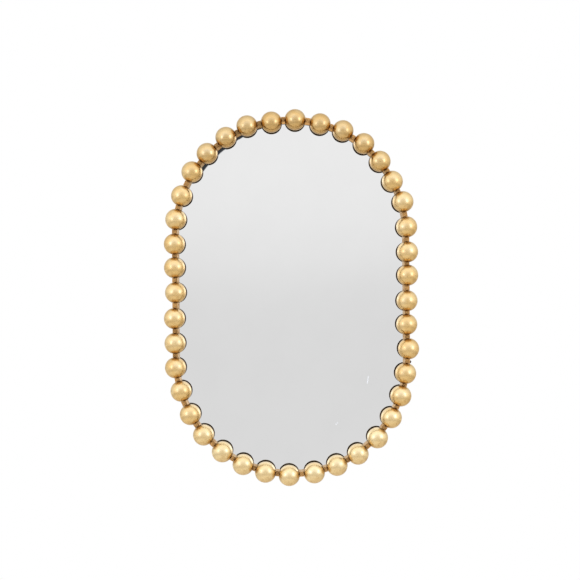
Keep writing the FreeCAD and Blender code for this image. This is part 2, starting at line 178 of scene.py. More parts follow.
def makeOvalGroup():  # distance from the core line, and the outward direction, of a point on the oval
    tree, given, out = startGroup("ovalPlace", {"halfCore": ovalHalfCore}, ["reach", "side", "rise"])
    x, _, z = splitUp(tree, objectPlace(tree))
    low = calc(tree, "MULTIPLY", given["halfCore"], -1.0)
    onCore = calc(tree, "MINIMUM", calc(tree, "MAXIMUM", z, low), given["halfCore"])
    over = calc(tree, "SUBTRACT", z, onCore)
    square = calc(tree, "ADD", calc(tree, "MULTIPLY", x, x), calc(tree, "MULTIPLY", over, over))
    reach = calc(tree, "SQRT", square)
    feed(tree, out["reach"], reach)
    feed(tree, out["side"], calc(tree, "DIVIDE", x, reach))
    feed(tree, out["rise"], calc(tree, "DIVIDE", over, reach))
    return tree


def makeMarkGroup():  # one short scratch in the plane of the glass
    inputs = {"fromX": 0.0, "fromZ": 0.0, "toX": 0.0, "toZ": 0.01, "width": 0.001}
    tree, given, out = startGroup("wearMark", inputs, ["mask"])
    x, _, z = splitUp(tree, objectPlace(tree))

    def flat(first, second):
        made = tree.nodes.new("ShaderNodeCombineXYZ")
        feed(tree, made.inputs[0], first)
        feed(tree, made.inputs[1], second)
        return made.outputs[0]

    begin = flat(given["fromX"], given["fromZ"])
    way = vectorCalc(tree, "SUBTRACT", flat(given["toX"], given["toZ"]), begin).outputs[0]
    away = vectorCalc(tree, "SUBTRACT", flat(x, z), begin).outputs[0]
    along = calc(tree, "DIVIDE", vectorCalc(tree, "DOT_PRODUCT", away, way).outputs["Value"],
                 vectorCalc(tree, "DOT_PRODUCT", way, way).outputs["Value"], clamp=True)
    made = vectorCalc(tree, "SCALE", way)
    feed(tree, made.inputs["Scale"], along)
    gap = vectorCalc(tree, "DISTANCE", away, made.outputs[0]).outputs["Value"]
    half = calc(tree, "MULTIPLY", given["width"], 0.5)
    feed(tree, out["mask"], step(tree, gap, given["width"], half))
    return tree


mottle = makeMottleGroup()
specks = makeSpeckGroup()
ovalPlace = makeOvalGroup()
wearMark = makeMarkGroup()
print("shared effects ready")


# finishes


def startMaterial(title, **constants):
    material = bpy.data.materials.new(title)
    material.use_nodes = True
    tree = material.node_tree
    shader = tree.nodes["Principled BSDF"]
    for name, given in constants.items():
        feed(tree, shader.inputs[name.replace("_", " ")], given)
    return material, tree, shader


def addBump(tree, shader, height, distance, strength=1.0, base=None):
    made = tree.nodes.new("ShaderNodeBump")
    made.inputs["Strength"].default_value = strength
    made.inputs["Distance"].default_value = distance
    feed(tree, made.inputs["Height"], height)
    if base:
        feed(tree, made.inputs["Normal"], base)
    feed(tree, shader.inputs["Normal"], made.outputs[0])


giltLook = {
    "pale": (0.88, 0.67, 0.35), "deep": (0.80, 0.54, 0.225), "warm": (0.84, 0.55, 0.19),
    "clean": (0.95, 0.79, 0.46), "brown": (0.46, 0.26, 0.08), "pit": (0.14, 0.08, 0.03),
    # the first two colours on the next line are painted shade on the backs of the balls
    "backShade": (0.040, 0.026, 0.012), "rear": (0.34, 0.21, 0.085), "edge": (1.0, 0.95, 0.88, 1.0),
    "tone": {"scale": 24.0, "low": 0.38, "high": 0.62},
    "patch": {"scale": 130.0, "low": 0.44, "high": 0.68, "drift": 0.6},
    "grain": {"scale": 420.0, "low": 0.35, "high": 0.75},
    "pits": {"scale": 150.0, "size": 0.16, "share": 0.10},
    # where each mask starts and where it is full
    "lean": (-0.35, 0.0, 1.0), "under": (0.25, -0.75), "lowest": (-0.3, -0.8), "crevicePatinaAndShade": (0.6, 0.92),
    "topDarker": (0.35, 0.8), "bottomPaler": (-0.35, -0.8), "shadedSide": (0.85, 0.30),
    # depths behind the widest line: in metres, then as shares of the ball's radius
    "ragged": 0.004, "fadeDepth": 0.003, "rearDepths": (0.45, 0.85), "behindDepths": (0.0, 0.6),
    # how much each mask wears the gilding, and how far it turns the colour
    "patchWear": 0.06, "underDarkening": 0.25, "lowestDarkening": 0.34, "crevicePatinaAndShadeShare": 0.29, "topDarkerShare": 0.30,
    "grainWear": 0.05, "warmShare": 0.75, "bottomPalerShare": 0.45, "pitShare": 0.5, "rearShare": 0.9,
    "rearGilt": 0.85, "raggedOutward": 0.2,
    "smooth": 0.26, "dull": 0.36, "topDarkerRough": -0.05, "bottomPalerRough": 0.03, "behindRough": 0.12,
    "coat": 0.12, "coatRough": 0.16, "dent": 0.00018, "dentStrength": 0.12, "tip": 0.9994,
}


def behindPlane(shares):  # depths behind the ball centres
    return [ballPlane + share * ballRadius for share in shares]


def makeGilt():
    look = giltLook
    material, tree, shader = startMaterial("agedGilt", Specular_Tint=look["edge"], Specular_IOR_Level=0.0,
                                           Coat_Roughness=look["coatRough"])
    tone, patch, grain = [useGroup(tree, mottle, **look[name])["mask"] for name in ("tone", "patch", "grain")]
    pits = useGroup(tree, specks, **look["pits"])["mask"]
    facing = tree.nodes.new("ShaderNodeTexCoord").outputs["Normal"]
    leaning = vectorCalc(tree, "DOT_PRODUCT", facing, look["lean"]).outputs["Value"]
    under = step(tree, leaning, *look["under"])  # the lower side of each ball, tilted a little to the right, is warmer and darker
    lowest = step(tree, leaning, *look["lowest"])
    # where a ball comes close to its neighbours it is darker: the patina that rubbed gilding keeps there,
    # with painted shade between the balls on top of it
    place = useGroup(tree, ovalPlace)
    across = splitUp(tree, facing)
    along = calc(tree, "SUBTRACT", calc(tree, "MULTIPLY", across[2], place["side"]),
                 calc(tree, "MULTIPLY", across[0], place["rise"]))
    crevicePatinaAndShade = step(tree, calc(tree, "ABSOLUTE", along), *look["crevicePatinaAndShade"])
    outward = calc(tree, "MULTIPLY_ADD", across[0], place["side"],
                   calc(tree, "MULTIPLY", across[2], place["rise"]))
    # painted shade: behind the widest line the balls are painted near black, except on their outward side,
    # and further back dark brown, so the glass shows a dark band beside each ball
    depth = calc(tree, "MULTIPLY_ADD", patch, look["ragged"], splitUp(tree, objectPlace(tree))[1])
    backShadeMask = step(tree, depth, ballPlane, ballPlane + look["fadeDepth"])
    outwardRagged = calc(tree, "MULTIPLY_ADD", patch, look["raggedOutward"], outward)
    backShadeMask = calc(tree, "MULTIPLY", backShadeMask, step(tree, outwardRagged, *look["shadedSide"]))
    rear = step(tree, depth, *behindPlane(look["rearDepths"]))
    behind = step(tree, depth, *behindPlane(look["behindDepths"]))
    darkBand = calc(tree, "MULTIPLY", backShadeMask, calc(tree, "MULTIPLY_ADD", rear, -look["rearGilt"], 1.0))
    gilded = calc(tree, "SUBTRACT", 1.0, darkBand)
    # the balls near the top of the oval are darker, and those near the bottom paler
    topDarker = step(tree, place["rise"], *look["topDarker"])
    bottomPaler = step(tree, place["rise"], *look["bottomPaler"])
    wear = calc(tree, "MULTIPLY_ADD", under, look["underDarkening"], look["patchWear"])
    toneShift = calc(tree, "MULTIPLY", patch, wear)
    for mask, share in ((lowest, "lowestDarkening"), (crevicePatinaAndShade, "crevicePatinaAndShadeShare"), (topDarker, "topDarkerShare")):
        toneShift = calc(tree, "MULTIPLY_ADD", mask, look[share], toneShift)
    grainWear = calc(tree, "MULTIPLY", under, look["grainWear"])
    toneShift = calc(tree, "MULTIPLY_ADD", grain, grainWear, toneShift, clamp=True)
    colour = tint(tree, tone, look["pale"], look["deep"])
    colour = tint(tree, calc(tree, "MULTIPLY", under, look["warmShare"]), colour, look["warm"])
    colour = tint(tree, calc(tree, "MULTIPLY", bottomPaler, look["bottomPalerShare"]), colour, look["clean"])
    colour = tint(tree, toneShift, colour, look["brown"])
    colour = tint(tree, calc(tree, "MULTIPLY", pits, look["pitShare"]), colour, look["pit"])
    # painted shade: the back half turns dark brown, and the band just behind the widest line near black
    colour = tint(tree, calc(tree, "MULTIPLY", behind, look["rearShare"]), colour, look["rear"])
    colour = tint(tree, darkBand, colour, look["backShade"])
    feed(tree, shader.inputs["Base Color"], colour)
    rough = step(tree, patch, 0.0, 1.0, look["smooth"], look["dull"])
    rough = calc(tree, "MULTIPLY_ADD", topDarker, look["topDarkerRough"], rough)
    rough = calc(tree, "MULTIPLY_ADD", bottomPaler, look["bottomPalerRough"], rough)
    rough = calc(tree, "MULTIPLY_ADD", behind, look["behindRough"], rough, clamp=True)
    feed(tree, shader.inputs["Roughness"], rough)
    feed(tree, shader.inputs["Metallic"], gilded)
    feed(tree, shader.inputs["Coat Weight"], calc(tree, "MULTIPLY", gilded, look["coat"]))
    # the foremost facets of a ball are shaded by their own direction, so that its tip stays smooth
    shape = tree.nodes.new("ShaderNodeNewGeometry").outputs
    ahead = vectorCalc(tree, "DOT_PRODUCT", shape["True Normal"], (0.0, -1.0, 0.0)).outputs["Value"]
    smooth = tree.nodes.new("ShaderNodeMix")
    smooth.data_type = "VECTOR"
    feed(tree, smooth.inputs[0], calc(tree, "GREATER_THAN", ahead, look["tip"]))
    feed(tree, smooth.inputs[4], shape["Normal"])
    feed(tree, smooth.inputs[5], shape["True Normal"])
    dents = calc(tree, "MULTIPLY_ADD", pits, -1.0, patch)
    addBump(tree, shader, dents, look["dent"], look["dentStrength"], smooth.outputs[1])
    return material


rimLook = {
    # the front band's brown is set brighter than the sides and back: painted light against the shade that the
    # balls cast on it
    "brown": (0.76, 0.42, 0.155), "dark": (0.45, 0.23, 0.07), "bevel": (0.51, 0.37, 0.22),
    "stained": (0.26, 0.17, 0.075), "wall": (0.40, 0.25, 0.105),
    "bandWidth": 0.017, "bevelWidth": 0.005, "bevelSoft": 0.0006,
    "tarnish": {"scale": 70.0, "low": 0.42, "high": 0.66, "drift": 0.8},
    "grain": {"scale": 500.0, "low": 0.35, "high": 0.75},
    "pits": {"scale": 260.0, "size": 0.25, "share": 0.16},
    "unshadedBelowTop": (0.95, 0.55), "damp": (0.0, 0.25, 0.45, 0.75), "upperArc": (0.0, 0.3),
    "tarnishShare": 0.5, "grainShare": 0.2, "pitShare": 0.6, "dampShare": 0.6,
    "smooth": 0.30, "dull": 0.5, "dent": 0.0002, "dentStrength": 0.4,
}


def betweenSides(tree, place, start, full, stay, finish):  # a stretch of the upper arc, left of the middle
    left = calc(tree, "MULTIPLY", place["side"], -1.0)
    stretch = calc(tree, "MULTIPLY", step(tree, left, start, full), step(tree, left, finish, stay))
    return calc(tree, "MULTIPLY", stretch, step(tree, place["rise"], *rimLook["upperArc"]))


def makeRim():
    look = rimLook
    material, tree, shader = startMaterial("brownGilt", Metallic=1.0)
    place = useGroup(tree, ovalPlace)
    reach = place["reach"]
    soft = look["bevelSoft"]
    bevelLine = ovalRadius - look["bandWidth"] + look["bevelWidth"]
    bevel = step(tree, reach, bevelLine + soft, bevelLine - soft)
    depth = splitUp(tree, objectPlace(tree))[1]
    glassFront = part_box("mirror_glass")[0].y
    bevel = calc(tree, "MULTIPLY", bevel, step(tree, depth, glassFront + soft, glassFront))
    wall = step(tree, depth, rimLow.y + soft, rimLow.y + 3 * soft)
    wall = calc(tree, "MULTIPLY", wall, step(tree, reach, bevelLine, bevelLine + soft))
    tarnish, grain = [useGroup(tree, mottle, **look[name])["mask"] for name in ("tarnish", "grain")]
    pits = useGroup(tree, specks, **look["pits"])["mask"]
    unshadedBelowTop = step(tree, place["rise"], *look["unshadedBelowTop"])  # the bevel is paler, except along the top of the oval, where it keeps the band's brown as painted shade
    toneShift = calc(tree, "MULTIPLY", bevel, unshadedBelowTop)
    damp = betweenSides(tree, place, *look["damp"])
    dulled = calc(tree, "MULTIPLY", grain, look["grainShare"])
    dulled = calc(tree, "MULTIPLY_ADD", tarnish, look["tarnishShare"], dulled)
    colour = tint(tree, toneShift, look["brown"], look["bevel"])
    colour = tint(tree, wall, colour, look["wall"])  # the sides and back keep a darker brown; the front band's brighter brown is painted light, making up for the shade between the balls
    colour = tint(tree, dulled, colour, look["dark"])
    colour = tint(tree, calc(tree, "MULTIPLY", pits, look["pitShare"]), colour, look["dark"])
    colour = tint(tree, calc(tree, "MULTIPLY", damp, look["dampShare"]), colour, look["stained"])
    feed(tree, shader.inputs["Base Color"], colour)
    feed(tree, shader.inputs["Roughness"], step(tree, tarnish, 0.0, 1.0, look["smooth"], look["dull"]))
    addBump(tree, shader, calc(tree, "SUBTRACT", grain, pits), look["dent"], look["dentStrength"])
    return material


glassLook = {
    "silver": (0.90, 0.90, 0.90), "cloud": (0.888, 0.888, 0.888), "darkBand": (0.075, 0.08, 0.085),
    "mark": (1.0, 1.0, 1.0), "edgeWidth": 0.0087, "topShadeWidth": 0.001, "smooth": 0.012, "hazy": 0.03,
    "clouds": {"scale": 9.0, "low": 0.35, "high": 0.7},
    "fox": {"scale": 210.0, "size": 0.22, "share": 0.12}, "foxWidth": 0.02, "foxShare": 0.5,
    # the bare edge: how ragged it is, and where along the oval it is wide
    "raggedScale": 120.0, "raggedLeast": 0.8, "raggedMore": 0.4, "bareCore": 0.7,
    "top": (0.45, 0.75), "damp": (0.1, 0.66, 0.80, 0.87), "bareRough": 0.4,
    # short scratches and knocks, each from one point to another in the plane of the glass
    "marks": (((0.1822, -0.1900), (0.1797, -0.2061)), ((0.1080, -0.2992), (0.1084, -0.3004)),
              ((0.1045, -0.3025), (0.1051, -0.3037))),
    "markWidth": 0.0016, "markShare": 0.6, "markDepth": 0.0001, "markStrength": 0.3,
}


def makeGlass():
    look = glassLook
    material, tree, shader = startMaterial("silveredGlass", Metallic=1.0)
    place = useGroup(tree, ovalPlace)
    window = ovalRadius - rimLook["bandWidth"]
    inset = calc(tree, "SUBTRACT", window, place["reach"])
    cloud = useGroup(tree, mottle, **look["clouds"])["mask"]
    fox = useGroup(tree, specks, **look["fox"])["mask"]
    ragged = noise(tree, objectPlace(tree), look["raggedScale"], detail=4.0, rough=0.6)
    # along the top the glass edge is painted dark for about a millimetre, a painted shadow line under the
    # rim; at the upper left the wider bare edge is where the silver has gone
    width = step(tree, place["rise"], *look["top"], 0.0, look["topShadeWidth"])
    damp = betweenSides(tree, place, *look["damp"])
    width = calc(tree, "MULTIPLY_ADD", damp, look["edgeWidth"], width)
    uneven = calc(tree, "MULTIPLY_ADD", ragged, look["raggedMore"], look["raggedLeast"])
    depth = calc(tree, "MULTIPLY", width, uneven)
    darkBand = step(tree, inset, depth, calc(tree, "MULTIPLY", depth, look["bareCore"]))
    foxed = calc(tree, "MULTIPLY", step(tree, inset, look["foxWidth"], 0.0), look["foxShare"])
    marks = 0.0
    for begin, finish in look["marks"]:
        mark = useGroup(tree, wearMark, fromX=begin[0], fromZ=begin[1], toX=finish[0], toZ=finish[1],
                        width=look["markWidth"])["mask"]
        marks = calc(tree, "ADD", marks, mark, clamp=True)
    colour = tint(tree, cloud, look["silver"], look["cloud"])
    colour = tint(tree, calc(tree, "MULTIPLY", fox, foxed), colour, look["darkBand"])
    colour = tint(tree, darkBand, colour, look["darkBand"])
    colour = tint(tree, calc(tree, "MULTIPLY", marks, look["markShare"]), colour, look["mark"])
    feed(tree, shader.inputs["Base Color"], colour)
    rough = step(tree, cloud, 0.0, 1.0, look["smooth"], look["hazy"])
    rough = calc(tree, "MULTIPLY_ADD", calc(tree, "MAXIMUM", darkBand, marks), look["bareRough"], rough)
    feed(tree, shader.inputs["Roughness"], rough)
    addBump(tree, shader, calc(tree, "MULTIPLY", marks, -1.0), look["markDepth"], look["markStrength"])
    return material


boardLook = {
    "pale": (0.54, 0.375, 0.21), "dark": (0.43, 0.28, 0.145), "stain": (0.26, 0.155, 0.08),
    "plyPale": (0.62, 0.46, 0.28), "plyDark": (0.36, 0.22, 0.11), "plies": 7, "plySoft": 0.3,
    "grainScale": 34.0, "grainStretch": 0.045, "poreScale": 420.0, "poreStretch": 0.03,
    "ringCount": 64.0, "ringSoft": 0.9, "ringDent": 0.2, "pore": (0.52, 0.66), "poreShare": 0.45,
    "stains": {"scale": 6.0, "low": 0.45, "high": 0.7, "drift": 0.4}, "stainShare": 0.35,
    "edge": (0.95, 0.8), "rough": (0.3, 0.7, 0.52, 0.68), "shine": 0.35, "dent": 0.00025, "dentStrength": 0.6,
}


def makeBoard():
    look = boardLook
    material, tree, shader = startMaterial("plywood", Specular_IOR_Level=look["shine"])
    place = objectPlace(tree)

    def stretched(scale, stretch):
        made = tree.nodes.new("ShaderNodeMapping")
        feed(tree, made.inputs["Vector"], place)
        made.inputs["Scale"].default_value = (1.0, 1.0, stretch)
        return noise(tree, made.outputs[0], scale, detail=5.0, rough=0.6, drift=1.2)

    grain = stretched(look["grainScale"], look["grainStretch"])
    rings = calc(tree, "SINE", calc(tree, "MULTIPLY", grain, look["ringCount"]))
    pores = step(tree, stretched(look["poreScale"], look["poreStretch"]), *look["pore"])
    stain = useGroup(tree, mottle, **look["stains"])["mask"]
    colour = tint(tree, step(tree, rings, -look["ringSoft"], look["ringSoft"]), look["pale"], look["dark"])
    colour = tint(tree, calc(tree, "MULTIPLY", pores, look["poreShare"]), colour, look["dark"])
    colour = tint(tree, calc(tree, "MULTIPLY", stain, look["stainShare"]), colour, look["stain"])
    # layers of veneer show on the edge
    boardLow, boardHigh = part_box("back_panel")
    count = look["plies"] * math.pi / (boardHigh.y - boardLow.y)
    wave = calc(tree, "SINE", calc(tree, "MULTIPLY", splitUp(tree, place)[1], count))
    ply = step(tree, wave, -look["plySoft"], look["plySoft"])
    facing = splitUp(tree, tree.nodes.new("ShaderNodeTexCoord").outputs["Normal"])[1]
    edge = step(tree, calc(tree, "ABSOLUTE", facing), *look["edge"])
    colour = tint(tree, edge, colour, tint(tree, ply, look["plyPale"], look["plyDark"]))
    feed(tree, shader.inputs["Base Color"], colour)
    feed(tree, shader.inputs["Roughness"], step(tree, grain, *look["rough"]))
    dents = calc(tree, "MULTIPLY_ADD", pores, -1.0, calc(tree, "MULTIPLY", rings, look["ringDent"]))
    addBump(tree, shader, dents, look["dent"], look["dentStrength"])
    return material


metalLooks = {
    "zincSteel": {"clean": (0.52, 0.515, 0.50), "dim": (0.42, 0.405, 0.37), "spot": (0.20, 0.15, 0.10),
                  "smooth": 0.26, "dull": 0.42, "patchScale": 260.0, "metal": 1.0},
    "dullBrass": {"clean": (0.74, 0.56, 0.27), "dim": (0.52, 0.36, 0.15), "spot": (0.16, 0.10, 0.05),
                  "smooth": 0.24, "dull": 0.42, "patchScale": 190.0, "metal": 1.0},
    "brownedSteel": {"clean": (0.026, 0.020, 0.016), "dim": (0.017, 0.013, 0.010),
                     "spot": (0.012, 0.009, 0.007), "smooth": 0.55, "dull": 0.70, "patchScale": 300.0,
                     "metal": 0.0},
}
metalWear = {
    "patch": {"low": 0.4, "high": 0.65, "drift": 0.5}, "grain": {"scale": 1400.0, "low": 0.3, "high": 0.8},
    "spots": {"scale": 420.0, "size": 0.3, "share": 0.05}, "spotShare": 0.6,
    "dent": 0.00005, "dentStrength": 0.2,
}


def makeMetal(title):
    look, wear = metalLooks[title], metalWear
    material, tree, shader = startMaterial(title, Metallic=look["metal"])
    patch = useGroup(tree, mottle, scale=look["patchScale"], **wear["patch"])["mask"]
    grain = useGroup(tree, mottle, **wear["grain"])["mask"]
    spots = useGroup(tree, specks, **wear["spots"])["mask"]
    colour = tint(tree, patch, look["clean"], look["dim"])
    colour = tint(tree, calc(tree, "MULTIPLY", spots, wear["spotShare"]), colour, look["spot"])
    feed(tree, shader.inputs["Base Color"], colour)
    feed(tree, shader.inputs["Roughness"], step(tree, patch, 0.0, 1.0, look["smooth"], look["dull"]))
    addBump(tree, shader, calc(tree, "SUBTRACT", grain, spots), wear["dent"], wear["dentStrength"])
    return material


rubberLook = {
    "black": (0.022, 0.022, 0.023), "dust": (0.11, 0.105, 0.10), "dustShare": 0.5, "shine": 0.4,
    "dusty": {"scale": 160.0, "low": 0.45, "high": 0.75}, "grain": {"scale": 900.0, "low": 0.3, "high": 0.7},
    "smooth": 0.55, "dull": 0.8, "dent": 0.0002, "dentStrength": 0.5,
}


def makeRubber():
    look = rubberLook
    material, tree, shader = startMaterial("blackRubber", Specular_IOR_Level=look["shine"])
    dust, grain = [useGroup(tree, mottle, **look[name])["mask"] for name in ("dusty", "grain")]
    colour = tint(tree, calc(tree, "MULTIPLY", dust, look["dustShare"]), look["black"], look["dust"])
    feed(tree, shader.inputs["Base Color"], colour)
    feed(tree, shader.inputs["Roughness"], step(tree, dust, 0.0, 1.0, look["smooth"], look["dull"]))
    addBump(tree, shader, grain, look["dent"], look["dentStrength"])
    return material


finishes = {
    "gilt_brass": makeGilt(),
    "rim_metal": makeRim(),
    "silvered_glass": makeGlass(),
    "plywood": makeBoard(),
    "steel_parts": makeMetal("zincSteel"),
    "button_brass": makeMetal("dullBrass"),
    "dark_screw": makeMetal("brownedSteel"),
    "black_rubber": makeRubber(),
}
for piece in frame["record"]["subparts"]:
    for slot in cadNodes[piece["node"]].material_slots:
        slot.material = finishes[piece["material_slot"]]
print("finishes given:", len(finishes))


# slotted screws on the back, one tree for both sizes

screwSets = {
    "slotted_button_screws": {"stands for": "button_screws", "headDiameter": 0.0064, "headHeight": 0.002,
                              "shankDiameter": 0.003, "slotWidth": 0.0009, "slotDepth": 0.0011, "seed": 4},
    "slotted_strap_screws": {"stands for": "hanger_screws", "headDiameter": 0.007, "headHeight": 0.0022,
                             "shankDiameter": 0.0035, "slotWidth": 0.001, "slotDepth": 0.0012, "seed": 9},
}
# what all screws have in common; the reaches are shares of half the head and of the whole head
screwBuild = {"headSegments": 40, "headRings": 20, "shankSides": 32, "buriedShare": 0.3, "softAngle": 35.0,
              "slotReach": 3.0, "groupReach": 1.5}


def makeScrewTree():
    tree = bpy.data.node_groups.new("slottedScrews", "GeometryNodeTree")
    tree.interface.new_socket("places", in_out="INPUT", socket_type="NodeSocketGeometry")
    for name in ("headDiameter", "headHeight", "shankDiameter", "shankLength", "slotWidth", "slotDepth"):
        tree.interface.new_socket(name, in_out="INPUT", socket_type="NodeSocketFloat")
    tree.interface.new_socket("seed", in_out="INPUT", socket_type="NodeSocketInt")
    tree.interface.new_socket("finish", in_out="INPUT", socket_type="NodeSocketMaterial")
    tree.interface.new_socket("screws", in_out="OUTPUT", socket_type="NodeSocketGeometry")
    given = tree.nodes.new("NodeGroupInput").outputs
    out = tree.nodes.new("NodeGroupOutput").inputs

    def build(kind, settings=None, **values):
        made = tree.nodes.new(kind)
        for name, setting in (settings or {}).items():
            setattr(made, name, setting)
        for name, number in values.items():
            feed(tree, made.inputs[name.replace("_", " ")], number)
        return made.outputs[0]

    def vector(x, y, z):
        return build("ShaderNodeCombineXYZ", X=x, Y=y, Z=z)

    # round head with a flat underside, standing on z = 0
    half = calc(tree, "MULTIPLY", given["headDiameter"], 0.5)
    head = build("GeometryNodeMeshUVSphere", Segments=screwBuild["headSegments"],
                 Rings=screwBuild["headRings"], Radius=1.0)
    head = build("GeometryNodeTransform", Geometry=head, Scale=vector(half, half, given["headHeight"]))
    x, y, z = splitUp(tree, tree.nodes.new("GeometryNodeInputPosition").outputs[0])
    flattened = vector(x, y, calc(tree, "MAXIMUM", z, 0.0))
    head = build("GeometryNodeSetPosition", Geometry=head, Position=flattened)
    # shank, from inside the head downwards
    buried = calc(tree, "MULTIPLY", given["headHeight"], screwBuild["buriedShare"])
    length = calc(tree, "ADD", given["shankLength"], buried)
    shank = build("GeometryNodeMeshCylinder", Vertices=screwBuild["shankSides"], Depth=length,
                  Radius=calc(tree, "MULTIPLY", given["shankDiameter"], 0.5))
    drop = calc(tree, "SUBTRACT", buried, calc(tree, "MULTIPLY", length, 0.5))
    shank = build("GeometryNodeTransform", Geometry=shank, Translation=vector(0.0, 0.0, drop))
    screw = tree.nodes.new("GeometryNodeMeshBoolean")
    screw.operation, screw.solver = "UNION", "MANIFOLD"
    tree.links.new(head, screw.inputs["Mesh 2"])
    tree.links.new(shank, screw.inputs["Mesh 2"])
    # slot across the head: its block is centred on the top, so it is twice as deep
    slotSize = vector(calc(tree, "MULTIPLY", half, screwBuild["slotReach"]), given["slotWidth"],
                      calc(tree, "MULTIPLY", given["slotDepth"], 2.0))
    slot = build("GeometryNodeMeshCube", Size=slotSize)
    slot = build("GeometryNodeTransform", Geometry=slot, Translation=vector(0.0, 0.0, given["headHeight"]))
    screw = build("GeometryNodeMeshBoolean", {"operation": "DIFFERENCE", "solver": "MANIFOLD"},
                  Mesh_1=screw.outputs[0], Mesh_2=slot)
    # soft shading on the round faces only
    angle = tree.nodes.new("GeometryNodeInputMeshEdgeAngle").outputs[0]
    smooth = calc(tree, "LESS_THAN", angle, math.radians(screwBuild["softAngle"]))
    screw = build("GeometryNodeSetShadeSmooth", {"domain": "FACE"}, Geometry=screw, Shade_Smooth=True)
    screw = build("GeometryNodeSetShadeSmooth", {"domain": "EDGE"}, Geometry=screw, Shade_Smooth=smooth)
    # heads to the back, each slot stopped at its own angle
    turn = tree.nodes.new("FunctionNodeRandomValue")
    turn.data_type = "FLOAT"
    turn.inputs[3].default_value = math.pi
    feed(tree, turn.inputs["Seed"], given["seed"])
    spin = build("FunctionNodeEulerToRotation", Euler=vector(-math.pi / 2, turn.outputs[1], 0.0))
    screws = build("GeometryNodeInstanceOnPoints", Points=given["places"], Instance=screw, Rotation=spin)
    screws = build("GeometryNodeRealizeInstances", Geometry=screws)
    feed(tree, out["screws"], build("GeometryNodeSetMaterial", Geometry=screws, Material=given["finish"]))
    return tree


def screwSeats(node, headDiameter, headHeight):  # where the heads sit, and how long the shanks are
    solid = cadNodes[node]
    reach = headDiameter * screwBuild["groupReach"]
    groups = []
    for vertex in solid.data.vertices:
        place = solid.matrix_world @ vertex.co
        for group in groups:
            if math.hypot(place.x - group[0].x, place.z - group[0].z) < reach:
                group.append(place)
                break
        else:
            groups.append([place])
    seats = []
    for group in groups:
        xs = [place.x for place in group]
        zs = [place.z for place in group]
        top = max(place.y for place in group)
        seats.append(((min(xs) + max(xs)) / 2, top - headHeight, (min(zs) + max(zs)) / 2))
    shank = seats[0][1] - min(place.y for place in groups[0])
    return seats, shank


def makeScrews(title, tree):
    values = dict(screwSets[title])
    node = values.pop("stands for")
    seats, values["shankLength"] = screwSeats(node, values["headDiameter"], values["headHeight"])
    values["finish"] = finishes["steel_parts"]
    mesh = bpy.data.meshes.new(title)
    mesh.from_pydata(seats, [], [])
    piece = bpy.data.objects.new(title, mesh)
    bpy.context.scene.collection.objects.link(piece)
    modifier = piece.modifiers.new("screws", "NODES")
    modifier.node_group = tree
    for item in tree.interface.items_tree:
        if item.name in values:
            modifier[item.identifier] = values[item.name]
    whole = piece.evaluated_get(bpy.context.evaluated_depsgraph_get())
    piece.data = bpy.data.meshes.new_from_object(whole)
    piece.modifiers.remove(modifier)
    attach(piece, "mirror_frame")
    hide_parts(node)
    print("screws made:", title, len(seats))


screwTree = makeScrewTree()
for title in screwSets:
    makeScrews(title, screwTree)


# studio: floor, soft world, two soft lamps

studio = {
    "hangHeight": 1.05, "floorRadius": 9.0, "floorSides": 96, "floorRough": 0.9, "floorShine": 0.2,
    "backdrop": 1.0, "floorNear": (0.88, 0.865, 0.83),
    "floorFar": (0.66, 0.645, 0.615), "farFrom": 1.0, "farTo": 3.0, "fadeFrom": 3.9, "fadeTo": 6.3,
    # light of the room by the angle from straight in front of the mirror, in degrees
    "glow": ((0, 0.95), (8, 0.92), (24, 1.02), (42, 1.30), (60, 1.36), (81, 1.12), (106, 0.95),
             (130, 0.78), (160, 0.80), (174, 1.0), (180, 1.0)),
    # and its share by the height of the direction, from straight down to straight up
    "rise": ((-1.0, 0.68), (-0.35, 0.64), (-0.2, 0.70), (-0.086, 0.834), (-0.029, 0.822), (0.0178, 0.918),
             (0.072, 0.996), (0.143, 1.0), (1.0, 1.0)),
    "glowTop": 1.5, "coolLight": (0.92, 1.0, 1.22), "coolFrom": 14.0, "coolTo": 30.0, "coolEnd": 85.0,
    # soft lamps: turn and lift in degrees, distance, width, height and glow
    "lamps": ((-45.0, 7.0, 3.4, 0.9, 1.4, 1.2), (47.0, 11.0, 3.4, 1.1, 1.6, 1.4)),
    "lampLight": (0.92, 1.0, 1.4),
}


def curveNode(tree, given, points, lowX, highX, topY):
    made = tree.nodes.new("ShaderNodeFloatCurve")
    curve = made.mapping.curves[0]
    spots = [((x - lowX) / (highX - lowX), y / topY) for x, y in points]
    curve.points[0].location = spots[0]
    curve.points[1].location = spots[-1]
    for spot in spots[1:-1]:
        curve.points.new(*spot)
    for point in curve.points:
        point.handle_type = "AUTO_CLAMPED"
    made.mapping.update()
    feed(tree, made.inputs["Value"], given)
    return calc(tree, "MULTIPLY", made.outputs[0], topY)


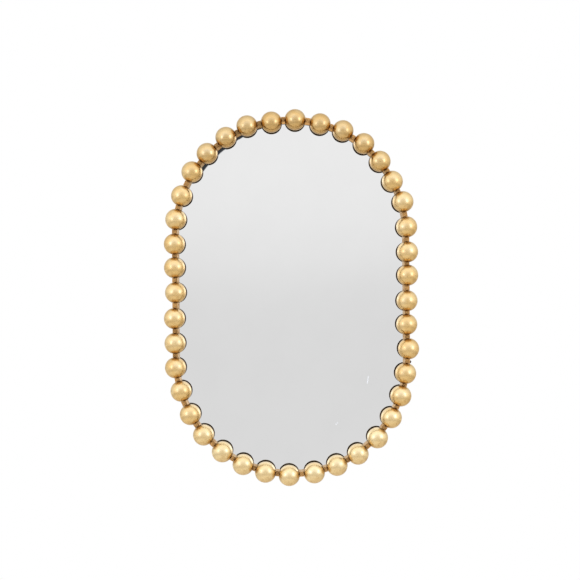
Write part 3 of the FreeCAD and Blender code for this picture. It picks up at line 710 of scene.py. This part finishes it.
def makeWorld():
    world = bpy.data.worlds.new("softStudio")
    world.use_nodes = True
    tree = world.node_tree
    toward = tree.nodes.new("ShaderNodeTexCoord").outputs["Generated"]
    toward = vectorCalc(tree, "NORMALIZE", toward).outputs[0]
    front = vectorCalc(tree, "DOT_PRODUCT", toward, (0.0, -1.0, 0.0)).outputs["Value"]
    angle = calc(tree, "DIVIDE", calc(tree, "ARCCOSINE", front), math.pi)
    height = calc(tree, "MULTIPLY_ADD", splitUp(tree, toward)[2], 0.5, 0.5)
    glow = curveNode(tree, angle, studio["glow"], 0.0, 180.0, studio["glowTop"])
    rise = curveNode(tree, height, studio["rise"], -1.0, 1.0, 1.0)
    seen = tree.nodes.new("ShaderNodeLightPath").outputs["Is Camera Ray"]
    light = calc(tree, "MULTIPLY", glow, rise)
    shown = tree.nodes.new("ShaderNodeMix")
    feed(tree, shown.inputs[0], seen)
    feed(tree, shown.inputs[2], light)
    shown.inputs[3].default_value = studio["backdrop"]
    feed(tree, tree.nodes["Background"].inputs["Strength"], shown.outputs[0])
    cool = step(tree, angle, studio["coolFrom"] / 180.0, studio["coolTo"] / 180.0)
    ending = step(tree, angle, studio["coolEnd"] / 180.0, studio["coolTo"] / 180.0)
    cool = calc(tree, "MULTIPLY", cool, ending)
    cool = calc(tree, "MULTIPLY", cool, calc(tree, "SUBTRACT", 1.0, seen))
    colour = tint(tree, cool, (1.0, 1.0, 1.0), studio["coolLight"])
    feed(tree, tree.nodes["Background"].inputs["Color"], colour)
    return world


def makeFloor():
    bpy.ops.mesh.primitive_circle_add(vertices=studio["floorSides"], radius=studio["floorRadius"],
                                      fill_type="NGON",
                                      location=(0.0, 0.0, cadBox[0].z - studio["hangHeight"]))
    floor = bpy.context.object
    floor.name = "studioFloor"
    material, tree, shader = startMaterial("paleFloor", Roughness=studio["floorRough"],
                                           Specular_IOR_Level=studio["floorShine"])
    x, y, _ = splitUp(tree, objectPlace(tree))
    away = calc(tree, "SQRT", calc(tree, "ADD", calc(tree, "MULTIPLY", x, x), calc(tree, "MULTIPLY", y, y)))
    far = step(tree, away, studio["farFrom"], studio["farTo"])
    feed(tree, shader.inputs["Base Color"], tint(tree, far, studio["floorNear"], studio["floorFar"]))
    path = tree.nodes.new("ShaderNodeLightPath").outputs
    sharp = calc(tree, "ADD", path["Is Camera Ray"], calc(tree, "ADD", path["Is Glossy Ray"],
                                                          path["Is Transmission Ray"]), clamp=True)
    fade = calc(tree, "MULTIPLY", step(tree, away, studio["fadeFrom"], studio["fadeTo"]), sharp)
    white = tree.nodes.new("ShaderNodeEmission")
    clear = tree.nodes.new("ShaderNodeBsdfTransparent")
    blend = tree.nodes.new("ShaderNodeMixShader")
    sided = tree.nodes.new("ShaderNodeMixShader")
    feed(tree, blend.inputs[0], fade)
    feed(tree, blend.inputs[1], shader.outputs[0])
    feed(tree, blend.inputs[2], white.outputs[0])
    feed(tree, sided.inputs[0], tree.nodes.new("ShaderNodeNewGeometry").outputs["Backfacing"])
    feed(tree, sided.inputs[1], blend.outputs[0])
    feed(tree, sided.inputs[2], clear.outputs[0])
    feed(tree, tree.nodes["Material Output"].inputs["Surface"], sided.outputs[0])
    floor.data.materials.append(material)


def makeLamp(turn, lift, distance, width, height, glow):
    light = bpy.data.lights.new("softLamp", "AREA")
    light.shape = "RECTANGLE"
    light.size, light.size_y = width, height
    light.color = studio["lampLight"]
    light.energy = glow * math.pi * width * height
    lamp = bpy.data.objects.new("softLamp", light)
    turn = math.radians(turn)
    lift = math.radians(lift)
    toward = Vector((math.sin(turn) * math.cos(lift), -math.cos(turn) * math.cos(lift), math.sin(lift)))
    lamp.location = toward * distance
    lamp.rotation_euler = toward.to_track_quat("Z", "Y").to_euler()
    lamp.visible_camera = False
    bpy.context.scene.collection.objects.link(lamp)


scene = bpy.context.scene
scene.world = makeWorld()
makeFloor()
for lamp in studio["lamps"]:
    makeLamp(*lamp)
print("studio lit")


# camera: straight in front, a little above the middle and a touch rolled

view = {"distance": 5.3, "frameWidth": 1.3688, "aimX": -0.0025, "aimZ": 0.0163, "sideStep": -0.03,
        "roll": 0.007, "clipEnd": 100.0}


def makeCamera():
    camera = bpy.data.objects.new("photoCamera", bpy.data.cameras.new("photoCamera"))
    aim = Vector((view["aimX"], ballPlane, view["aimZ"]))
    camera.location = aim + Vector((view["sideStep"], -view["distance"], 0.0))
    turn = (aim - camera.location).to_track_quat("-Z", "Y")
    camera.rotation_euler = (turn @ Quaternion((0.0, 0.0, -1.0), view["roll"])).to_euler()
    camera.data.lens = camera.data.sensor_width * view["distance"] / view["frameWidth"]
    camera.data.clip_end = view["clipEnd"]
    scene.collection.objects.link(camera)
    scene.camera = camera


makeCamera()
scene.view_settings.view_transform = "Standard"
print("camera set")
